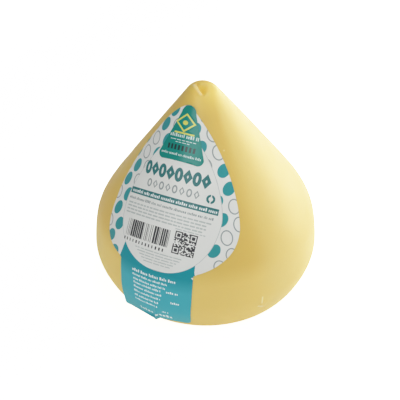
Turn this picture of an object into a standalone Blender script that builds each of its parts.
"""Tetilla cheese: a whole pear-shaped cheese with a wrapped paper label and a control seal.

Metres, +Z up. The origin is the middle of the flat base, on the surface that the cheese rests on.
The label faces -Y. Flat paper is described by u, across to the right, and v, down from a point
just below the tip, both measured along the skin of the cheese.
"""
import math

import bmesh
import bpy
import numpy as np

MM = 0.001

# The turned body: rounded foot, belly, shoulder arc, straight flank and domed tip.
BELLY_RADIUS = 65.0 * MM
BELLY_HEIGHT = 29.6 * MM
BASE_RADIUS = 46.4 * MM
SHOULDER_RADIUS = 57.7 * MM
FLANK_ANGLE = math.radians(37.1)
TIP_RADIUS = 11.0 * MM
TURN_STEPS = 80
DOME_STEPS = 10
FLANK_STEPS = 11
SHOULDER_STEPS = 9
FOOT_STEPS = 10

# The tip leans a little, and is dented where the mould closed, with a low fold beside the dent.
LEAN = np.array([-1.55, -0.70]) * MM
LEAN_START = 60.0 * MM
DENT_PLACE = np.array([1.9, -2.6]) * MM
DENT_RADIUS = 2.1 * MM
DENT_DEPTH = 1.5 * MM
FOLD_START = np.array([-5.3, -1.3]) * MM
FOLD_END = np.array([1.0, -5.8]) * MM
FOLD_HEIGHT = 0.6 * MM
FOLD_WIDTH = 0.8 * MM

# Thin pieces lie on each other with a small gap.
GAP = 0.3 * MM
PAPER = 0.3 * MM
WRAP_STEPS = 40

# The label: a teardrop that sways to the left above its widest line, with a tab that runs down
# over the belly. The tab's left corner stands off.
LABEL_DROP = 0.5 * MM
LABEL_TOP = 13.9 * MM
LABEL_WIDEST = 74.0 * MM
LABEL_HALF = 39.1 * MM
LABEL_FOOT = 104.5 * MM
SIDE_POWER = 1.8
SIDE_ROUNDING = 0.81
SWAY = -7.8 * MM
SWAY_FOOT = 70.0 * MM
LEFT_FULLNESS = 3.0
RIGHT_FULLNESS = 2.0
TAB_HALF = 22.0 * MM
TAB_SHIFT = -1.5 * MM
TAB_END = 142.0 * MM
TAB_CORNER = 3.0 * MM
CORNER_LIFT = 1.5 * MM
CORNER_START = 126.0 * MM
CORNER_WIDTH = 19.0 * MM
LABEL_TURN = math.radians(0.8)
LABEL_PIVOT = 84.5 * MM
LABEL_COLUMNS = 16
LABEL_ROWS = 36

# The seal: a sticker with a round top and a wide foot, on the top of the label.
SEAL_TOP = 14.2 * MM
SEAL_TOP_RADIUS = 4.2 * MM
SEAL_HALF = 13.1 * MM
SEAL_FOOT = 43.6 * MM
SEAL_CORNER = 3.2 * MM
SEAL_SHIFT = -0.7 * MM
SEAL_COLUMNS = 8
SEAL_ROWS = 18


def arc(start, end, steps):
    """Angles from start to end, without the first one."""
    return np.linspace(start, end, steps + 1)[1:]


def meridian(scale=1):
    """Radius and height down the outer side, from the tip to the rim of the base."""
    shoulder_end = np.array([BELLY_RADIUS - SHOULDER_RADIUS * (1 - math.cos(FLANK_ANGLE)),
                             BELLY_HEIGHT + SHOULDER_RADIUS * math.sin(FLANK_ANGLE)])
    cone_height = shoulder_end[1] + shoulder_end[0] / math.tan(FLANK_ANGLE)
    dome_height = cone_height - TIP_RADIUS / math.sin(FLANK_ANGLE)
    dome_end = np.array([TIP_RADIUS * math.cos(FLANK_ANGLE),
                         dome_height + TIP_RADIUS * math.sin(FLANK_ANGLE)])
    dome = [(TIP_RADIUS * math.cos(a), dome_height + TIP_RADIUS * math.sin(a))
            for a in arc(math.pi / 2, FLANK_ANGLE, DOME_STEPS * scale)]
    flank = [tuple(dome_end + (shoulder_end - dome_end) * t)
             for t in arc(0, 1, FLANK_STEPS * scale)]
    shoulder = [(BELLY_RADIUS - SHOULDER_RADIUS * (1 - math.cos(a)),
                 BELLY_HEIGHT + SHOULDER_RADIUS * math.sin(a))
                for a in arc(FLANK_ANGLE, 0, SHOULDER_STEPS * scale)]
    foot = [(BASE_RADIUS + (BELLY_RADIUS - BASE_RADIUS) * math.cos(a),
             BELLY_HEIGHT * (1 - math.sin(a)))
            for a in arc(0, math.pi / 2, FOOT_STEPS * scale)]
    return np.array([(0.0, dome_height + TIP_RADIUS)] + dome + flank + shoulder + foot)


SKIN = meridian(scale=8)
SKIN_LENGTH = np.concatenate([[0.0], np.cumsum(np.hypot(*np.diff(SKIN, axis=0).T))])
SKIN_SLOPE = np.gradient(SKIN, SKIN_LENGTH, axis=0)
TIP_HEIGHT = SKIN[0, 1]


def skin(length, table, column):
    """Read a column of a skin table at a distance down from the tip."""
    return np.interp(length, SKIN_LENGTH, table[:, column])


def lean(points):
    """Push the upper part sideways, more towards the tip."""
    rise = np.clip((points[:, 2] - LEAN_START) / (TIP_HEIGHT - LEAN_START), 0, None)
    moved = points.copy()
    moved[:, :2] += rise[:, None] ** 2 * LEAN
    return moved


def tip_relief(points):
    """Height that the dent and the fold add to points near the tip."""
    flat = points[:, :2]
    dent = np.sum((flat - DENT_PLACE) ** 2, axis=1) / DENT_RADIUS ** 2
    run = FOLD_END - FOLD_START
    along = np.clip((flat - FOLD_START) @ run / (run @ run), 0, 1)
    fold = np.sum((flat - FOLD_START - along[:, None] * run) ** 2, axis=1) / FOLD_WIDTH ** 2
    relief = FOLD_HEIGHT * np.exp(-fold) - DENT_DEPTH * np.exp(-dent)
    return np.where(points[:, 2] > LEAN_START, relief, 0.0)


def wrap(u, v, lift):
    """Lay flat paper on the skin: down the front by v, then straight across by u, and lift it."""
    across = u * math.cos(LABEL_TURN) + (v - LABEL_PIVOT) * math.sin(LABEL_TURN)
    length = LABEL_PIVOT + (v - LABEL_PIVOT) * math.cos(LABEL_TURN) - u * math.sin(LABEL_TURN)
    length = length + LABEL_DROP
    step = np.abs(across) / WRAP_STEPS
    turn = np.zeros_like(across)
    turn_rate = np.sign(across) / skin(length, SKIN, 0)
    length_rate = np.zeros_like(across)
    for _ in range(WRAP_STEPS):
        middle = length + length_rate * step / 2
        radius = skin(middle, SKIN, 0)
        slope = skin(middle, SKIN_SLOPE, 0)
        middle_rate = length_rate + radius * slope * turn_rate ** 2 * step / 2
        middle_turn = turn_rate - slope / radius * length_rate * turn_rate * step
        length = length + middle_rate * step
        turn = turn + middle_turn * step
        length_rate = length_rate + radius * slope * middle_turn ** 2 * step
        turn_rate = turn_rate - 2 * slope / radius * middle_rate * middle_turn * step
    radius = skin(length, SKIN, 0) - lift * skin(length, SKIN_SLOPE, 1)
    height = skin(length, SKIN, 1) + lift * skin(length, SKIN_SLOPE, 0)
    return lean(np.stack([radius * np.sin(turn), -radius * np.cos(turn), height], axis=1))


def corner_lift(u, v):
    """How far the lower left corner of the tab stands off the belly."""
    down = np.clip((v - CORNER_START) / (TAB_END - CORNER_START), 0, 1)
    side = np.clip((TAB_SHIFT - TAB_HALF + CORNER_WIDTH - u) / CORNER_WIDTH, 0, 1)
    return CORNER_LIFT * down ** 2 * side ** 2


def label_sides(v):
    """Left and right edge of the label at a distance v down from the tip."""
    if v < LABEL_WIDEST:
        t = (LABEL_WIDEST - v) / (LABEL_WIDEST - LABEL_TOP)
        half = LABEL_HALF * (1 - t ** SIDE_POWER) ** SIDE_ROUNDING
        rise = max(SWAY_FOOT - v, 0.0) / (SWAY_FOOT - LABEL_TOP)
        middle = SWAY * rise * (1 - rise) ** (1 / 3)
        return middle - half, middle + half
    t = min((v - LABEL_WIDEST) / (LABEL_FOOT - LABEL_WIDEST), 1.0)
    left = LABEL_HALF * (1 - t ** LEFT_FULLNESS) ** (1 / LEFT_FULLNESS)
    right = LABEL_HALF * (1 - t ** RIGHT_FULLNESS) ** (1 / RIGHT_FULLNESS)
    corner = max(v - (TAB_END - TAB_CORNER), 0.0)
    tab = TAB_HALF - TAB_CORNER + math.sqrt(TAB_CORNER ** 2 - corner ** 2)
    return min(-left, TAB_SHIFT - tab), max(right, TAB_SHIFT + tab)


def seal_sides(v):
    """Left and right edge of the seal at a distance v down from the tip."""
    shoulder = SEAL_TOP + SEAL_TOP_RADIUS
    corner = SEAL_FOOT - SEAL_CORNER
    if v < shoulder:
        half = math.sqrt(SEAL_TOP_RADIUS ** 2 - (shoulder - v) ** 2)
    elif v < corner:
        half = SEAL_TOP_RADIUS + (SEAL_HALF - SEAL_TOP_RADIUS) * (v - shoulder) / (corner - shoulder)
    else:
        half = SEAL_HALF - SEAL_CORNER + math.sqrt(SEAL_CORNER ** 2 - (v - corner) ** 2)
    return SEAL_SHIFT - half, SEAL_SHIFT + half


def plain_material(name, colour, roughness):
    """A Principled material of one colour."""
    material = bpy.data.materials.new(name)
    material.use_nodes = True
    shader = material.node_tree.nodes["Principled BSDF"]
    shader.inputs["Base Color"].default_value = (*colour, 1.0)
    shader.inputs["Roughness"].default_value = roughness
    shader.inputs["Metallic"].default_value = 0.0
    return material


def place(obj, collection, material):
    """Put a finished object into the collection with its material, shaded smooth."""
    collection.objects.link(obj)
    obj.data.materials.append(material)
    obj.data.shade_smooth()
    return obj


def turned_body():
    """The turned outline of the whole cheese, from the tip down to the middle of its base."""
    outline = [(r, 0.0, z) for r, z in meridian()] + [(0.0, 0.0, 0.0)]
    mesh = bpy.data.meshes.new("outline")
    mesh.from_pydata(outline, [(i, i + 1) for i in range(len(outline) - 1)], [])
    turned = bpy.data.objects.new("outline", mesh)
    bpy.context.scene.collection.objects.link(turned)
    screw = turned.modifiers.new("Turn", "SCREW")
    screw.steps = TURN_STEPS
    screw.render_steps = TURN_STEPS
    screw.use_merge_vertices = True
    screw.merge_threshold = 0.01 * MM
    bpy.context.view_layer.update()
    evaluated = turned.evaluated_get(bpy.context.evaluated_depsgraph_get())
    body = bpy.data.meshes.new_from_object(evaluated)
    bpy.data.objects.remove(turned)
    return body


def make_cheese(collection):
    """The cheese itself: the turned body, with its tip dented and leaning."""
    body = turned_body()
    body.name = "cheese"
    points = np.array([vertex.co for vertex in body.vertices])
    points[:, 2] += tip_relief(points)
    body.vertices.foreach_set("co", lean(points).ravel())
    body.update()
    cheese = bpy.data.objects.new("cheese", body)
    cheese_material = plain_material("cheese rind", (0.78, 0.62, 0.24), 0.42)
    place(cheese, collection, cheese_material)
    cheese.data.set_sharp_from_angle(angle=math.radians(40))
    return cheese


def paper_piece(name, columns, rows, top, foot, sides, lift):
    """A thin sheet between two side edges, laid on the cheese from top to foot."""
    bm = bmesh.new()
    bmesh.ops.create_grid(bm, x_segments=columns, y_segments=rows, size=1.0)
    grid = np.array([vertex.co for vertex in bm.verts])
    down = (1 - grid[:, 1]) / 2
    end_ease = 0.5 - 0.5 * np.cos(math.pi * down)
    v = top + (foot - top) * (0.5 * down + 0.5 * end_ease)
    edges = np.array([sides(value) for value in v])
    u = edges.mean(axis=1) + grid[:, 0] * (edges[:, 1] - edges[:, 0]) / 2
    for vertex, place_on_skin in zip(bm.verts, wrap(u, v, lift + corner_lift(u, v))):
        vertex.co = place_on_skin
    mesh = bpy.data.meshes.new(name)
    bm.to_mesh(mesh)
    bm.free()
    piece = bpy.data.objects.new(name, mesh)
    solidify = piece.modifiers.new("Thickness", "SOLIDIFY")
    solidify.thickness = PAPER
    solidify.offset = 1.0
    return piece


def make_label(collection):
    """The paper label, just clear of the rind."""
    label = paper_piece("label", LABEL_COLUMNS, LABEL_ROWS, LABEL_TOP + 0.4 * MM,
                        TAB_END - 0.3 * MM, label_sides, GAP)
    return place(label, collection, plain_material("label paper", (0.50, 0.62, 0.62), 0.5))


def make_seal(collection):
    """The control seal, just clear of the label."""
    seal = paper_piece("seal", SEAL_COLUMNS, SEAL_ROWS, SEAL_TOP + 0.3 * MM,
                       SEAL_FOOT - 0.1 * MM, seal_sides, 2 * GAP + PAPER)
    return place(seal, collection, plain_material("seal paper", (0.03, 0.22, 0.19), 0.3))


def main():
    """Clear the scene and build the cheese with its label and seal."""
    for obj in list(bpy.data.objects):
        bpy.data.objects.remove(obj)
    collection = bpy.data.collections.new("tetilla_cheese")
    bpy.context.scene.collection.children.link(collection)
    cheese = make_cheese(collection)
    make_label(collection).parent = cheese
    make_seal(collection).parent = cheese


main()
